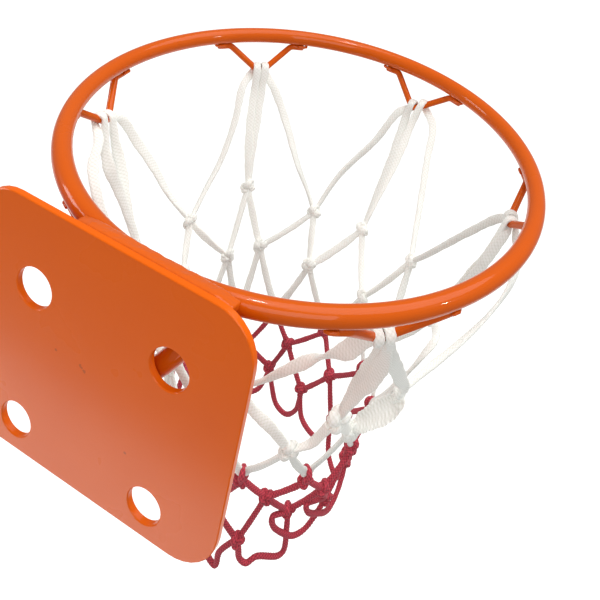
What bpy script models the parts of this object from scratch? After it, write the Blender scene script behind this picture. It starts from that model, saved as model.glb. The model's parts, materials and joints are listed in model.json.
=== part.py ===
"""Mini basketball hoop: a rod ring welded to a wall plate, with a rod brace, net hooks and a knotted net.

The plate's rear face is the plane y = 0 and its middle is the origin. The ring reaches out along +Y, and
+Z is up. Ring angles are counted from the side that faces the plate, growing towards +X.
"""

import math
import random

import bmesh
import bpy
from mathutils import Matrix, Vector

MM = 0.001

# Driving dimensions, in millimetres.
SEAT_GAP = 0.3            # paint-thin gap left between two pieces that touch
PLATE_WIDTH = 180.0
PLATE_HEIGHT = 154.0
PLATE_THICKNESS = 4.0
PLATE_CORNER = 26.0
PLATE_EDGE_BREAK = 0.5
HOLE_PITCH_X = 90.0
HOLE_PITCH_Z = 86.0
HOLE_DROP = 15.5          # the four holes sit this far below the plate's middle
UPPER_HOLE = 24.0
LOWER_HOLE = 21.0
ROD = 12.0                # rod of the ring and of the brace
RING_RADIUS = 156.0       # to the rod's centre line, which leaves 300 mm inside
RING_OFFSET_X = 20.0      # the ring's centre line stands to one side of the plate's
RING_BELOW_TOP = 10.0     # the rod's centre line below the plate's top edge
BRACE_FOOT_DROP = 74.0    # the brace's bend below the ring's centre line
BRACE_ANGLE = 17.0        # ring angle at which each brace leg meets the ring
BRACE_BEND = 16.0
WIRE = 5.0                # wire of the net hooks
HOOK_IN = 13.0            # a hook's middle corner, before it is rounded, inside the ring's centre line
HOOK_DROP = 28.0          # and under it
FLAT_HOOK_IN = 18.0       # the same on the hook by the brace leg, which is flatter to clear it
FLAT_HOOK_DROP = 19.0
# Each net hook: its ring angle, and where its middle corner stands. They were set by hand, so they aren't even.
HOOKS = (
    (-15.0, FLAT_HOOK_IN, FLAT_HOOK_DROP),
    (48.0, HOOK_IN, HOOK_DROP),
    (110.0, HOOK_IN, HOOK_DROP),
    (172.0, HOOK_IN, HOOK_DROP),
    (226.5, HOOK_IN, HOOK_DROP),
    (286.0, HOOK_IN, HOOK_DROP),
)
HOOK_COUNT = len(HOOKS)
HOOK_HALF_SPAN = 37.0     # along the ring, from the middle to the end of the wire
HOOK_ARM_START = 26.0
HOOK_BEND = 6.0
BEAD = 2.6                # weld beads round the wire ends
BRACE_BEAD = 4.0
BRACE_LUMP = 9.2          # radius of the weld at each brace end
BRACE_LUMP_BELOW = 9.0    # its middle, measured down the leg from the ring's centre line
WELD_HALF_LENGTH = 50.0
WELD_TAPER = 10.0         # length of the tapered part at each end
WELD_END_HEIGHT = 0.75    # of the full height, at the ends
WELD_TOP = 0.8            # the bead stands this far under the plate's top edge
WELD_CREST = 3.5          # how far its nearly flat crest reaches from the plate
WELD_CREST_FALL = 0.2
WELD_PAST_ROD = 3.0       # how far it laps over the rod, past the rod's centre line
WELD_OVER_ROD = 1.4       # its thickness there
WELD_ROOT = 1.0           # its underside, above the ring's centre line
CORD_WHITE = 5.0
CORD_RED = 4.6
KNOT_WHITE = 5.6          # knot radius
KNOT_RED = 5.2
KNOT_LONG = 1.15          # knots are a little taller than wide
LOOP_SPREAD = 4.2         # the two loops of a hook, each this far from its apex
LOOP_SLACK = 0.8          # between a loop and the slanting wire it hangs on
NET_JITTER = 2.2          # a hand-knotted net is never quite even
NET_FIRST_ANGLE = -9.0    # of the knots under the first hook
NET_LEAN = 7.0            # and a little to one side of the ring's axis
NET_LEAN_ANGLE = 71.0
# Net rows: radius, height below the ring's centre line, and whether the row is turned by half a loop.
NET_ROWS = (
    (101.0, 114.0, False),
    (83.0, 151.0, True),
    (74.0, 191.0, False),
    (66.0, 224.0, True),
    (64.0, 252.0, False),
)
NET_LOOP_DROP = 30.0      # the open loops under the last row
NET_LOOP_FLARE = 3.0
NET_LOOP_HALF = 0.32      # of the distance between its knots, from a loop's middle to each turn
NET_LOOP_TURN = 0.25      # of its drop, how high the turns stand

# Derived values.
NET_LOOPS = 2 * HOOK_COUNT
ROD_RADIUS = ROD / 2
WIRE_RADIUS = WIRE / 2
RING_Z = PLATE_HEIGHT / 2 - RING_BELOW_TOP
RING_CENTRE = Vector((RING_OFFSET_X, PLATE_THICKNESS + SEAT_GAP + ROD_RADIUS + RING_RADIUS, RING_Z))
HOOK_WIRE_Z = -(ROD_RADIUS + SEAT_GAP + WIRE_RADIUS)

# Sides and segments.
RING_SEGMENTS = 96
ROD_SIDES = 16
WIRE_SIDES = 10
WHITE_CORD_SIDES = 5
RED_CORD_SIDES = 4
BEAD_SIDES = 6
HOLE_SIDES = 40
CORNER_SEGMENTS = 8
BEND_SEGMENTS = 5
BRACE_BEND_SEGMENTS = 8
BRACE_LUMP_SUBDIVISIONS = 2
KNOT_SEGMENTS = 5
KNOT_RINGS = 3
LOOP_SEGMENTS = 4

# Paint and cord colours, linear, and the roughness of each finish.
ORANGE = (0.83, 0.19, 0.035, 1.0)
ORANGE_WELD = (0.80, 0.18, 0.034, 1.0)
WHITE_CORD = (0.86, 0.85, 0.80, 1.0)
RED_CORD = (0.36, 0.035, 0.055, 1.0)
ENAMEL_ROUGHNESS = 0.28
WELD_ROUGHNESS = 0.35
CORD_ROUGHNESS = 0.85


def clear_scene():
    for obj in list(bpy.data.objects):
        bpy.data.objects.remove(obj, do_unlink=True)


def material(name, colour, roughness):
    made = bpy.data.materials.new(name)
    made.use_nodes = True
    shader = made.node_tree.nodes["Principled BSDF"]
    shader.inputs["Base Color"].default_value = colour
    shader.inputs["Roughness"].default_value = roughness
    made.diffuse_color = colour
    return made


def add_object(name, bm, finish, smooth=True):
    """Turns a bmesh built in millimetres into an object in metres."""
    bmesh.ops.recalc_face_normals(bm, faces=bm.faces)
    bmesh.ops.scale(bm, vec=(MM, MM, MM), verts=bm.verts)
    mesh = bpy.data.meshes.new(name)
    bm.to_mesh(mesh)
    bm.free()
    mesh.materials.append(finish)
    if smooth:
        mesh.shade_smooth()
    obj = bpy.data.objects.new(name, mesh)
    bpy.context.scene.collection.objects.link(obj)
    return obj


def add_cutter(name, bm):
    cutter = add_object(name, bm, None, smooth=False)
    cutter.hide_render = True
    cutter.display_type = "WIRE"
    return cutter


def cut(obj, cutter):
    step = obj.modifiers.new("cut_" + cutter.name, "BOOLEAN")
    step.operation = "DIFFERENCE"
    step.solver = "EXACT"
    step.object = cutter


def ring_point(angle_degrees, radius, height):
    """A point given by ring angle, distance from the ring's axis and height over the ring's centre line."""
    angle = math.radians(angle_degrees)
    offset = Vector((radius * math.sin(angle), -radius * math.cos(angle), height))
    return RING_CENTRE + offset


def arc_degrees(length):
    return math.degrees(length / RING_RADIUS)


def rounded_path(points, bends, segments=BEND_SEGMENTS):
    """Replaces each inner corner of a polyline by an arc; bends gives each corner's bend radius."""
    path = [points[0]]
    for before, corner, after, bend in zip(points, points[1:], points[2:], bends):
        to_before = (before - corner).normalized()
        to_after = (after - corner).normalized()
        half = to_before.angle(to_after) / 2
        cut_back = bend / math.tan(half)
        middle = (to_before + to_after).normalized()
        centre = corner + middle * (bend / math.sin(half))
        start = corner + to_before * cut_back - centre
        end = corner + to_after * cut_back - centre
        sweep = start.angle(end)
        axis = start.cross(end).normalized()
        for step in range(segments + 1):
            turned = Matrix.Rotation(sweep * step / segments, 3, axis) @ start
            path.append(centre + turned)
    path.append(points[-1])
    return path


def add_tube(bm, path, radius, sides, closed=False):
    """Sweeps a round section along a path and closes both ends."""
    count = len(path)
    tangents = []
    for index in range(count):
        before = path[index - 1] if index or closed else path[index]
        after = path[(index + 1) % count] if index < count - 1 or closed else path[index]
        tangents.append((after - before).normalized())
    side = tangents[0].orthogonal().normalized()
    if closed:
        side = Vector((0, 0, 1))
    rings = []
    for point, tangent in zip(path, tangents):
        side = (side - tangent * side.dot(tangent)).normalized()
        other = tangent.cross(side)
        section = []
        for step in range(sides):
            angle = 2 * math.pi * step / sides
            section.append(bm.verts.new(point + radius * (math.cos(angle) * side + math.sin(angle) * other)))
        rings.append(section)
    pairs = list(zip(rings, rings[1:]))
    if closed:
        pairs.append((rings[-1], rings[0]))
    for first, second in pairs:
        for step in range(sides):
            after = (step + 1) % sides
            bm.faces.new((first[step], first[after], second[after], second[step]))
    if not closed:
        bm.faces.new(list(reversed(rings[0])))
        bm.faces.new(rings[-1])


def add_knot(bm, centre, radius):
    made = bmesh.ops.create_uvsphere(bm, u_segments=KNOT_SEGMENTS, v_segments=KNOT_RINGS, radius=radius)
    for vert in made["verts"]:
        vert.co = Vector((vert.co.x, vert.co.y, vert.co.z * KNOT_LONG)) + centre


def rounded_rectangle(width, height, corner, segments):
    outline = []
    for index, (sign_x, sign_z) in enumerate(((1, 1), (-1, 1), (-1, -1), (1, -1))):
        centre = Vector((sign_x * (width / 2 - corner), 0, sign_z * (height / 2 - corner)))
        for step in range(segments + 1):
            angle = math.pi / 2 * (index + step / segments)
            outline.append(centre + corner * Vector((math.cos(angle), 0, math.sin(angle))))
    return outline


def hole_centres():
    """The bolt holes as (x, z, diameter), upper pair first."""
    upper = HOLE_PITCH_Z / 2 - HOLE_DROP
    lower = -HOLE_PITCH_Z / 2 - HOLE_DROP
    half = HOLE_PITCH_X / 2
    return (
        (-half, upper, UPPER_HOLE),
        (half, upper, UPPER_HOLE),
        (-half, lower, LOWER_HOLE),
        (half, lower, LOWER_HOLE),
    )


def back_plate(finish):
    bm = bmesh.new()
    outline = rounded_rectangle(PLATE_WIDTH, PLATE_HEIGHT, PLATE_CORNER, CORNER_SEGMENTS)
    rear = [bm.verts.new(point) for point in outline]
    face = bm.faces.new(rear)
    front = bmesh.ops.extrude_face_region(bm, geom=[face])
    moved = [item for item in front["geom"] if isinstance(item, bmesh.types.BMVert)]
    bmesh.ops.translate(bm, vec=(0, PLATE_THICKNESS, 0), verts=moved)
    plate = add_object("back_plate", bm, finish, smooth=False)
    cutters = bmesh.new()
    past_both_faces = 4 * PLATE_THICKNESS
    for x, z, diameter in hole_centres():
        turned = Matrix.Translation((x, PLATE_THICKNESS / 2, z)) @ Matrix.Rotation(math.pi / 2, 4, "X")
        bmesh.ops.create_cone(
            cutters,
            cap_ends=True,
            segments=HOLE_SIDES,
            radius1=diameter / 2,
            radius2=diameter / 2,
            depth=past_both_faces,
            matrix=turned,
        )
    cut(plate, add_cutter("hole_cutters", cutters))
    edge = plate.modifiers.new("edge_break", "BEVEL")
    edge.width = PLATE_EDGE_BREAK * MM
    edge.segments = 1
    edge.limit_method = "ANGLE"
    edge.angle_limit = math.radians(40)
    return plate


def torus(bm, rod_radius):
    path = [ring_point(360 * step / RING_SEGMENTS, RING_RADIUS, 0) for step in range(RING_SEGMENTS)]
    add_tube(bm, path, rod_radius, ROD_SIDES, closed=True)


def ring_rod(finish):
    bm = bmesh.new()
    torus(bm, ROD_RADIUS)
    return add_object("ring_rod", bm, finish)


def brace_path():
    """Centre line of the V-shaped brace, from one ring end to the other."""
    foot = ring_point(0, RING_RADIUS, -BRACE_FOOT_DROP)
    left = ring_point(-BRACE_ANGLE, RING_RADIUS, 0)
    right = ring_point(BRACE_ANGLE, RING_RADIUS, 0)
    return rounded_path([left, foot, right], [BRACE_BEND], BRACE_BEND_SEGMENTS)


def brace_rod(finish, ring_clearance):
    bm = bmesh.new()
    add_tube(bm, brace_path(), ROD_RADIUS, ROD_SIDES)
    brace = add_object("brace_rod", bm, finish)
    cut(brace, ring_clearance)
    return brace


def hook_path(hook):
    """Centre line of one net hook: its ends lie under the ring and its middle points in and down."""
    angle, corner_in, corner_drop = hook

    def at(length, inwards, height):
        return ring_point(angle + arc_degrees(length), RING_RADIUS - inwards, height)

    corners = [
        at(-HOOK_HALF_SPAN, 0, HOOK_WIRE_Z),
        at(-HOOK_ARM_START, 0, HOOK_WIRE_Z),
        at(0, corner_in, -corner_drop),
        at(HOOK_ARM_START, 0, HOOK_WIRE_Z),
        at(HOOK_HALF_SPAN, 0, HOOK_WIRE_Z),
    ]
    return rounded_path(corners, [HOOK_BEND, HOOK_BEND, HOOK_BEND])


def net_hook(index, hook, finish):
    bm = bmesh.new()
    add_tube(bm, hook_path(hook), WIRE_RADIUS, WIRE_SIDES)
    return add_object(f"net_hook_{index}", bm, finish)


def crevice_centre(big_radius, small_radius, bead_radius, drop):
    """Sideways and downward distance, from the upper of two rods, of a bead that lies beside both."""
    to_big = big_radius + SEAT_GAP + bead_radius
    to_small = small_radius + SEAT_GAP + bead_radius
    down = (to_big ** 2 - to_small ** 2 + drop ** 2) / (2 * drop)
    return math.sqrt(to_big ** 2 - down ** 2), down


def hook_weld(index, angle, end_name, sign, finish):
    """One bead along both sides of a wire end and round its tip."""
    bead = BEAD / 2
    sideways, down = crevice_centre(ROD_RADIUS, WIRE_RADIUS, bead, -HOOK_WIRE_Z)
    tip = HOOK_HALF_SPAN + 2 * SEAT_GAP + bead
    tip_down = (down + ROD_RADIUS + SEAT_GAP + bead) / 2
    begin = HOOK_ARM_START + HOOK_BEND
    corners = (
        (begin, sideways, down),
        (HOOK_HALF_SPAN, sideways, down),
        (tip, sideways / 2, tip_down),
        (tip, -sideways / 2, tip_down),
        (HOOK_HALF_SPAN, -sideways, down),
        (begin, -sideways, down),
    )
    path = []
    for length, side, drop in corners:
        path.append(ring_point(angle + arc_degrees(sign * length), RING_RADIUS + side, -drop))
    bm = bmesh.new()
    add_tube(bm, path, bead, BEAD_SIDES)
    return add_object(f"hook_weld_{index}_{end_name}", bm, finish)


def ring_plate_weld(finish, ring_clearance):
    """The long bead that fills the valley between the plate's front face and the top of the ring."""
    front = PLATE_THICKNESS + SEAT_GAP
    top = PLATE_HEIGHT / 2 - WELD_TOP
    root = RING_Z + WELD_ROOT
    lap = front + ROD_RADIUS + WELD_PAST_ROD
    profile = (
        (front, root),
        (front, top),
        (front + WELD_CREST, top - WELD_CREST_FALL),
        (lap, RING_Z + ROD_RADIUS + WELD_OVER_ROD),
        (lap, root),
    )
    taper = WELD_HALF_LENGTH - WELD_TAPER
    stations = (
        (-WELD_HALF_LENGTH, WELD_END_HEIGHT),
        (-taper, 1.0),
        (taper, 1.0),
        (WELD_HALF_LENGTH, WELD_END_HEIGHT),
    )
    bm = bmesh.new()
    ends = []
    for x, height in stations:
        section = []
        for y, z in profile:
            section.append(bm.verts.new((RING_OFFSET_X + x, y, root + (z - root) * height)))
        ends.append(section)
    for first, second in zip(ends, ends[1:]):
        for step in range(len(profile)):
            after = (step + 1) % len(profile)
            bm.faces.new((first[step], first[after], second[after], second[step]))
    bm.faces.new(ends[0])
    bm.faces.new(list(reversed(ends[-1])))
    weld = add_object("ring_plate_weld", bm, finish, smooth=False)
    cut(weld, ring_clearance)
    return weld


def brace_foot_weld(name, side, finish):
    """A bead that follows one side of the brace's bend on the plate's front face."""
    bead = BRACE_BEAD / 2
    from_plate = SEAT_GAP + bead
    rod_from_plate = SEAT_GAP + ROD_RADIUS
    reach = ROD_RADIUS + SEAT_GAP + bead
    offset = math.sqrt(reach ** 2 - (rod_from_plate - from_plate) ** 2)
    y = PLATE_THICKNESS + from_plate
    path = brace_path()[1:-1]
    line = []
    for before, point, after in zip(path, path[1:], path[2:]):
        along = (after - before).normalized()
        across = Vector((-along.z, 0, along.x)).normalized()
        line.append(Vector((point.x, y, point.z)) + across * side * offset)
    bm = bmesh.new()
    add_tube(bm, line, bead, BEAD_SIDES)
    return add_object(name, bm, finish)


def brace_end_weld(name, end, inner, finish, clearances):
    """A rounded lump of weld round the upper end of a brace leg."""
    along = (inner - end).normalized()
    bm = bmesh.new()
    made = bmesh.ops.create_icosphere(bm, subdivisions=BRACE_LUMP_SUBDIVISIONS, radius=BRACE_LUMP)
    for vert in made["verts"]:
        vert.co += end + along * BRACE_LUMP_BELOW
    weld = add_object(name, bm, finish)
    for clearance in clearances:
        cut(weld, clearance)
    return weld


def net_knots():
    """Knot centres row by row, a little uneven, counted round the net from the first hook."""
    chance = random.Random(12)
    lean = ring_point(NET_LEAN_ANGLE, NET_LEAN, 0) - RING_CENTRE
    rows = []
    for radius, drop, half_turn in NET_ROWS:
        row = []
        for index in range(NET_LOOPS):
            turn = index + (0.5 if half_turn else 0.0)
            angle = NET_FIRST_ANGLE + 360 * turn / NET_LOOPS
            place = ring_point(angle, radius, -drop) + lean
            shift = [chance.uniform(-NET_JITTER, NET_JITTER) for _ in range(3)]
            row.append(place + Vector(shift))
        rows.append(row)
    return rows


def cord_between(bm, start, end, radius, sides, end_clear=0.0):
    """A straight cord from the middle of one knot to the middle of another, or to a little short of it."""
    along = (end - start).normalized()
    add_tube(bm, [start, end - along * end_clear], radius, sides)


def apex_side(angle):
    """Unit vector along the ring in the direction of growing ring angle."""
    return (ring_point(angle + 1, 1, 0) - ring_point(angle - 1, 1, 0)).normalized()


def hook_apex(hook, along):
    """Centre of the hook's wire at a small distance along the ring from its apex."""
    path = hook_path(hook)
    angle = hook[0]
    side = apex_side(angle)
    apex = path[len(path) // 2]
    middle = ring_point(angle, RING_RADIUS, 0)
    for first, second in zip(path, path[1:]):
        start = (first - middle).dot(side)
        end = (second - middle).dot(side)
        near = max((first - apex).length, (second - apex).length) < HOOK_ARM_START
        if near and start <= along <= end:
            return first.lerp(second, (along - start) / (end - start))
    return apex


def hook_loop(bm, hook, side, under, beside):
    """One net loop over a hook: up from the knot beside it, round the wire and down to the knot under it."""
    radius = CORD_WHITE / 2
    wrap = WIRE_RADIUS + LOOP_SLACK + radius
    angle = hook[0]
    apex = hook_apex(hook, side * LOOP_SPREAD)
    outwards = (ring_point(angle, 1, 0) - ring_point(angle, 0, 0)).normalized()
    across = apex_side(angle)
    down = under - apex
    down = (down - across * down.dot(across)).normalized()
    out = (outwards - down * outwards.dot(down)).normalized()
    arc = []
    for step in range(LOOP_SEGMENTS + 1):
        turn = math.pi * step / LOOP_SEGMENTS
        arc.append(apex + wrap * (math.cos(turn) * out - math.sin(turn) * down))
    add_tube(bm, [beside] + arc + [under], radius, WHITE_CORD_SIDES)


def net_pairs(rows, index):
    """Each knot of a row joined to its two neighbours in the row below."""
    turned = NET_ROWS[index][2]
    upper, lower = rows[index], rows[index + 1]
    pairs = []
    for step, start in enumerate(upper):
        other = step + 1 if turned else step - 1
        pairs.append((start, lower[step]))
        pairs.append((start, lower[other % NET_LOOPS]))
    return pairs


def union_of(name, cords, knots, finish):
    """Joins the cords and the knots of one colour into a single body."""
    knot_cutter = add_cutter(name + "_knots", knots)
    net = add_object(name, cords, finish)
    join = net.modifiers.new("join_knots", "BOOLEAN")
    join.operation = "UNION"
    join.solver = "EXACT"
    join.use_self = True
    join.object = knot_cutter
    return net


def net_upper(finish):
    rows = net_knots()
    knots = bmesh.new()
    for place in rows[0] + rows[1]:
        add_knot(knots, place, KNOT_WHITE)
    cords = bmesh.new()
    for index, hook in enumerate(HOOKS):
        under = rows[0][2 * index]
        hook_loop(cords, hook, -1, under, rows[0][2 * index - 1])
        hook_loop(cords, hook, 1, under, rows[0][2 * index + 1])
    radius = CORD_WHITE / 2
    for start, end in net_pairs(rows, 0):
        cord_between(cords, start, end, radius, WHITE_CORD_SIDES)
    clear = KNOT_RED * KNOT_LONG + SEAT_GAP
    for start, end in net_pairs(rows, 1):
        cord_between(cords, start, end, radius, WHITE_CORD_SIDES, clear)
    return union_of("net_upper_white", cords, knots, finish)


def net_lower(finish):
    rows = net_knots()
    knots = bmesh.new()
    for place in rows[2] + rows[3] + rows[4]:
        add_knot(knots, place, KNOT_RED)
    cords = bmesh.new()
    radius = CORD_RED / 2
    for index in (2, 3):
        for start, end in net_pairs(rows, index):
            cord_between(cords, start, end, radius, RED_CORD_SIDES)
    last = rows[4]
    for index, start in enumerate(last):
        add_tube(cords, open_loop(start, last[(index + 1) % NET_LOOPS]), radius, RED_CORD_SIDES)
    return union_of("net_lower_red", cords, knots, finish)


def open_loop(start, end):
    """The U of cord that hangs open between two knots of the last row."""
    middle = (start + end) / 2
    outwards = middle - RING_CENTRE
    outwards.z = 0
    low = middle + Vector((0, 0, -NET_LOOP_DROP)) + outwards.normalized() * NET_LOOP_FLARE
    half = (end - start) * NET_LOOP_HALF
    lift = Vector((0, 0, NET_LOOP_DROP * NET_LOOP_TURN))
    return [start, low - half + lift, low - half / 2, low + half / 2, low + half + lift, end]


def main():
    clear_scene()
    back_plate(material("orange enamel plate", ORANGE, ENAMEL_ROUGHNESS))
    ring_rod(material("orange enamel ring", ORANGE, ENAMEL_ROUGHNESS))
    clearance = bmesh.new()
    torus(clearance, ROD_RADIUS + SEAT_GAP)
    ring_clearance = add_cutter("ring_clearance", clearance)
    brace_rod(material("orange enamel brace", ORANGE, ENAMEL_ROUGHNESS), ring_clearance)
    ring_plate_weld(material("orange enamel ring weld", ORANGE_WELD, WELD_ROUGHNESS), ring_clearance)
    for name, side in (("upper", 1), ("lower", -1)):
        paint = material(f"orange enamel brace foot weld {name}", ORANGE_WELD, WELD_ROUGHNESS)
        brace_foot_weld(f"brace_foot_weld_{name}", side, paint)
    path = brace_path()
    leg = bmesh.new()
    add_tube(leg, path, ROD_RADIUS + SEAT_GAP, ROD_SIDES)
    clearances = (add_cutter("leg_clearance", leg), ring_clearance)
    for name, end, inner in (("left", path[0], path[1]), ("right", path[-1], path[-2])):
        paint = material(f"orange enamel brace end weld {name}", ORANGE_WELD, WELD_ROUGHNESS)
        brace_end_weld(f"brace_end_weld_{name}", end, inner, paint, clearances)
    for index, hook in enumerate(HOOKS):
        net_hook(index + 1, hook, material(f"orange enamel hook {index + 1}", ORANGE, ENAMEL_ROUGHNESS))
        for end_name, sign in (("a", -1), ("b", 1)):
            paint = material(f"orange enamel hook weld {index + 1}{end_name}", ORANGE_WELD, WELD_ROUGHNESS)
            hook_weld(index + 1, hook[0], end_name, sign, paint)
    net_upper(material("white braided cord", WHITE_CORD, CORD_ROUGHNESS))
    net_lower(material("red braided cord", RED_CORD, CORD_ROUGHNESS))


main()
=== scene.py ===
# %% [markdown]
# # A mini basketball hoop
# An enamelled steel ring stands out from a small plate, with a brace under it, six wire hooks round it and a knotted
# net of two colours on the hooks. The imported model, called the frame, holds the steel's exact shapes and places. The
# steel is finished from copies of it, so nothing can drift, and the net is made here cord by cord.

import json
import math

import bpy
import numpy as np
from mathutils import Matrix, Vector

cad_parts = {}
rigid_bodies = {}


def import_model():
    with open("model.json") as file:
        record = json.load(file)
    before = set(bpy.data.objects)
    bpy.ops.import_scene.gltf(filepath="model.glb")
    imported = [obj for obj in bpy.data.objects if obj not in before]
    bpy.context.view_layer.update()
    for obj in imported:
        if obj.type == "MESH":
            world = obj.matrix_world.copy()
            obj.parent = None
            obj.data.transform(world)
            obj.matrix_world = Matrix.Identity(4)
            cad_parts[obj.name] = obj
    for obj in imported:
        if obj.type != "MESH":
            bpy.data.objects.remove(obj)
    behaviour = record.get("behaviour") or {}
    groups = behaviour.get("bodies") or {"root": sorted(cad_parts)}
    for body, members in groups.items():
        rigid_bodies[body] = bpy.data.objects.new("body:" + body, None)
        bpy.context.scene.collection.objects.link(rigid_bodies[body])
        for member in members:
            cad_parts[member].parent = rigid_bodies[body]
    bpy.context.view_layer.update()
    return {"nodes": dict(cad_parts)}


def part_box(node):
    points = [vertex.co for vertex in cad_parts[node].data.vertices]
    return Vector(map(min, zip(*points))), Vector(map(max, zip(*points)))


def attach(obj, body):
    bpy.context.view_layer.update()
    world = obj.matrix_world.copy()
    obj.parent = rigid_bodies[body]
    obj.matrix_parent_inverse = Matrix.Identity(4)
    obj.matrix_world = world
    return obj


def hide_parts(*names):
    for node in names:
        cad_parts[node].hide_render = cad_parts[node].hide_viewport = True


for startup in list(bpy.data.objects):
    bpy.data.objects.remove(startup)
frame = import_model()

# %% [markdown]
# ## Places round the ring
# A net hangs round its ring, so its points are easiest to think of as an angle round the ring, a distance from the
# ring's axis and a depth under the ring. Typed x, y and z would hide that. The ring's own measures are read from the
# frame, and all lengths here are in millimetres until a mesh is filled in metres.

# %% Measures and directions
MM = 0.001
SEED = 7
chance = np.random.default_rng(SEED)
RING_LOW, RING_HIGH = (np.array(corner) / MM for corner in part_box("ring_rod"))
RING_CENTRE = (RING_LOW + RING_HIGH) / 2
ROD_RADIUS = (RING_HIGH[2] - RING_LOW[2]) / 2
RING_RADIUS = (RING_HIGH[0] - RING_LOW[0]) / 2 - ROD_RADIUS
UP = np.array([0.0, 0.0, 1.0])


def ring_point(angle, radius, depth):
    """A point by its angle round the ring, its distance from the ring's axis and its depth under the centre line."""
    turn = math.radians(angle)
    return RING_CENTRE + np.array([radius * math.sin(turn), -radius * math.cos(turn), -depth])


def unit(vectors):
    """The vectors at a length of 1."""
    return vectors / np.maximum(np.linalg.norm(vectors, axis=-1, keepdims=True), 1e-9)


def outwards(point):
    """The level direction from the ring's axis to the point."""
    return unit((point - RING_CENTRE) * (1, 1, 0))


print("ring radius", round(RING_RADIUS, 2), "mm, rod radius", round(ROD_RADIUS, 2), "mm")

# %% [markdown]
# ## The camera
# A photograph's camera can be found again from things of known shape. Here the ring's ellipse, the plate's corner and
# the plate's holes were fitted together, which gives a place, three axes and a focal length. The photograph was cut
# from a larger one, so its middle isn't where the camera pointed, and the lens is shifted by that much.

# %% The camera
CAMERA_PLACE = Vector((226.9, -296.7, 377.6)) * MM
CAMERA_RIGHT = Vector((0.89939, 0.37593, 0.2231))
CAMERA_UP = Vector((-0.28765, 0.12466, 0.94959))
CAMERA_BACK = Vector((0.32916, -0.91823, 0.22025))
lens = bpy.data.cameras.new("camera")
lens.lens, lens.sensor_width = 49.68, 36.0
lens.shift_x, lens.shift_y = -0.22, -0.702
lens.clip_start, lens.clip_end = 0.01, 50
camera = bpy.data.objects.new("camera", lens)
turned = Matrix((CAMERA_RIGHT, CAMERA_UP, CAMERA_BACK)).transposed().to_4x4()
camera.matrix_world = Matrix.Translation(CAMERA_PLACE) @ turned
bpy.context.scene.collection.objects.link(camera)
bpy.context.scene.camera = camera
print("camera", round(CAMERA_PLACE.length, 3), "m from the frame's origin")

# %% [markdown]
# ## Materials
# A material is a small tree of nodes. A colour is written as the hex value that a screen shows, and turned into the
# linear light that the renderer counts in. One helper adds any node with its settings and links, which keeps the
# trees short enough to read.


# %% Node helpers
def linear(hex_colour):
    """A hex sRGB colour as linear RGBA."""
    parts = [int(hex_colour[i : i + 2], 16) / 255 for i in (1, 3, 5)]
    return [p / 12.92 if p <= 0.04045 else ((p + 0.055) / 1.055) ** 2.4 for p in parts] + [1.0]


def fill(tree, node, inputs):
    """Fills a node's inputs. Each is a value, or a socket of another node to link from."""
    for name, value in inputs.items():
        if isinstance(value, bpy.types.NodeSocket):
            tree.links.new(value, node.inputs[name])
        else:
            node.inputs[name].default_value = value


def add_node(tree, kind, inputs=None, **settings):
    """Adds one node with its settings and its filled inputs."""
    node = tree.nodes.new(kind)
    for name, value in settings.items():
        setattr(node, name, value)
    fill(tree, node, inputs or {})
    return node


def new_material(name):
    """A new material, its tree and its surface shader."""
    material = bpy.data.materials.new(name)
    material.use_nodes = True
    return material, material.node_tree, material.node_tree.nodes["Principled BSDF"]


def noise_scale(size):
    """The scale of a noise texture whose patches are this many mm across."""
    return 1 / (size * MM)


# A Mix node's sockets share their names, so they are given by number: factor, first and second colour, and result.
FACTOR, FIRST, SECOND, RESULT = 0, 6, 7, 2
print("middle grey on a screen is", round(linear("#808080")[0], 3), "in linear light")

# %% [markdown]
# ## Enamel
# The steel was dipped or sprayed with gloss enamel and baked. The film is nearly even: its colour drifts a little over
# some centimetres, and its surface has the low ripple called orange peel, which breaks up the edge of a highlight. The
# plate is duller than the round rods and has a few knocks. Noise textures give all of it, sized in millimetres. The
# clear top of the film is the shader's coat, so the coloured film under it keeps little shine of its own.

# %% Orange enamel
FILM_PATCH = 45.5  # the film's slow drift in colour and gloss
PEEL = 3.03  # the ripples of the orange peel, drawn somewhat coarse so that they show
FRAY = 1.43  # the ragged edge of a knock
FRAY_REACH = 1.2
MARK_CORE = 0.7  # the share of a mark's radius that is marked in full
MARK_STRENGTH = 0.6


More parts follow.
